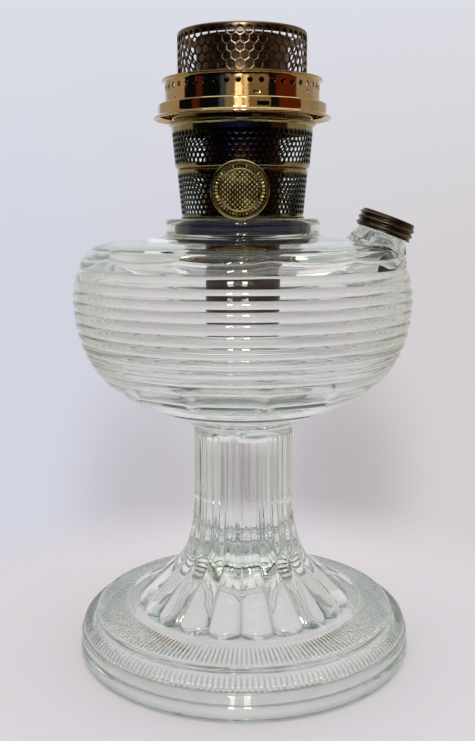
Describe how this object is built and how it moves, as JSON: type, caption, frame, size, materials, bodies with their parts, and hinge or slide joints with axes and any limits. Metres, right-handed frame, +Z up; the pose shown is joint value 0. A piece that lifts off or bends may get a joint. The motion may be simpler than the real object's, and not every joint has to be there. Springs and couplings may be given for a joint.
{
  "type": "oil lamp",
  "caption": "Pressed-glass table oil lamp with ribbed font, fluted foot, round-wick burner in perforated brass baskets, gallery, wick knob and screw filler cap.",
  "frame": {"origin": "centre of the foot's underside, on the surface that the lamp stands on", "axes": "+Z up along the burner's axis, the wick knob faces -Y, the filler leans toward +X"},
  "size_m": [0.1634, 0.1632, 0.294],
  "materials": {
    "glass": "clear pressed glass with a faint green tint",
    "brass": "polished sheet brass",
    "bronze": "aged brown brass",
    "dark_brass": "dark olive patina",
    "black_brass": "almost black patina with worn brass ridges",
    "steel": "plain turned",
    "cotton": "woven cotton",
    "washer": "pressed leather",
    "plaster": "set plaster"
  },
  "bodies": {
    "lamp": {"foot": "glass", "font": "glass", "burner_neck": "glass", "filler_neck": "glass", "font_collar": "brass", "collar_cement": "plaster"},
    "washer": {"burner_washer": "washer"},
    "burner": {"burner_base": "dark_brass", "lower_basket": "dark_brass", "upper_basket": "dark_brass", "outer_wick_tube": "brass", "inner_wick_tube": "brass", "inner_tube_bottom": "brass", "air_duct_right": "brass", "air_duct_left": "brass", "raiser_bracket": "brass", "shaft_bush": "brass"},
    "wick_raiser": {"wick": "cotton", "wick_carrier": "brass"},
    "knob": {"knob_shaft": "steel", "wick_pinion": "brass", "wick_knob": "bronze", "knob_face": "bronze"},
    "flame_spreader": {"spreader_thimble": "brass", "spreader_cap": "brass"},
    "gallery": {"gallery_collar": "dark_brass", "gallery_flange": "brass", "gallery_ring": "brass", "gallery_crown": "bronze", "gallery_cone": "brass"},
    "gasket": {"cap_gasket": "washer"},
    "filler_cap": {"filler_cap": "black_brass"}
  },
  "joints": [
    {"name": "burner_rise", "type": "slide", "parent": "lamp", "child": "washer", "axis": [0, 0, 1], "range_m": [0, 0.005]},
    {"name": "burner_turn", "type": "hinge", "parent": "washer", "child": "burner", "pos_m": [0, 0, 0.206], "axis": [0, 0, 1], "range_deg": [0, 720]},
    {"name": "wick_lift", "type": "slide", "parent": "burner", "child": "wick_raiser", "axis": [0, 0, 1], "range_m": [0, 0.012]},
    {"name": "knob_turn", "type": "hinge", "parent": "burner", "child": "knob", "pos_m": [0, -0.0378, 0.2228], "axis": [0, 1, 0], "range_deg": [0, 143]},
    {"name": "spreader_lift", "type": "slide", "parent": "burner", "child": "flame_spreader", "axis": [0, 0, 1], "range_m": [0, 0.012]},
    {"name": "gallery_lift", "type": "slide", "parent": "burner", "child": "gallery", "axis": [0, 0, 1], "range_m": [0, 0.026]},
    {"name": "cap_rise", "type": "slide", "parent": "lamp", "child": "gasket", "axis": [0.3502, 0, 0.9367], "range_m": [0, 0.0052]},
    {"name": "cap_turn", "type": "hinge", "parent": "gasket", "child": "filler_cap", "pos_m": [0.0659, 0, 0.2036], "axis": [0.3502, 0, 0.9367], "range_deg": [0, 720]}
  ],
  "couplings": [
    {"joint": "burner_rise", "follows": "burner_turn", "m_per_rad": 0.00039789},
    {"joint": "wick_lift", "follows": "knob_turn", "m_per_rad": 0.0048},
    {"joint": "cap_rise", "follows": "cap_turn", "m_per_rad": 0.0004138}
  ]
}
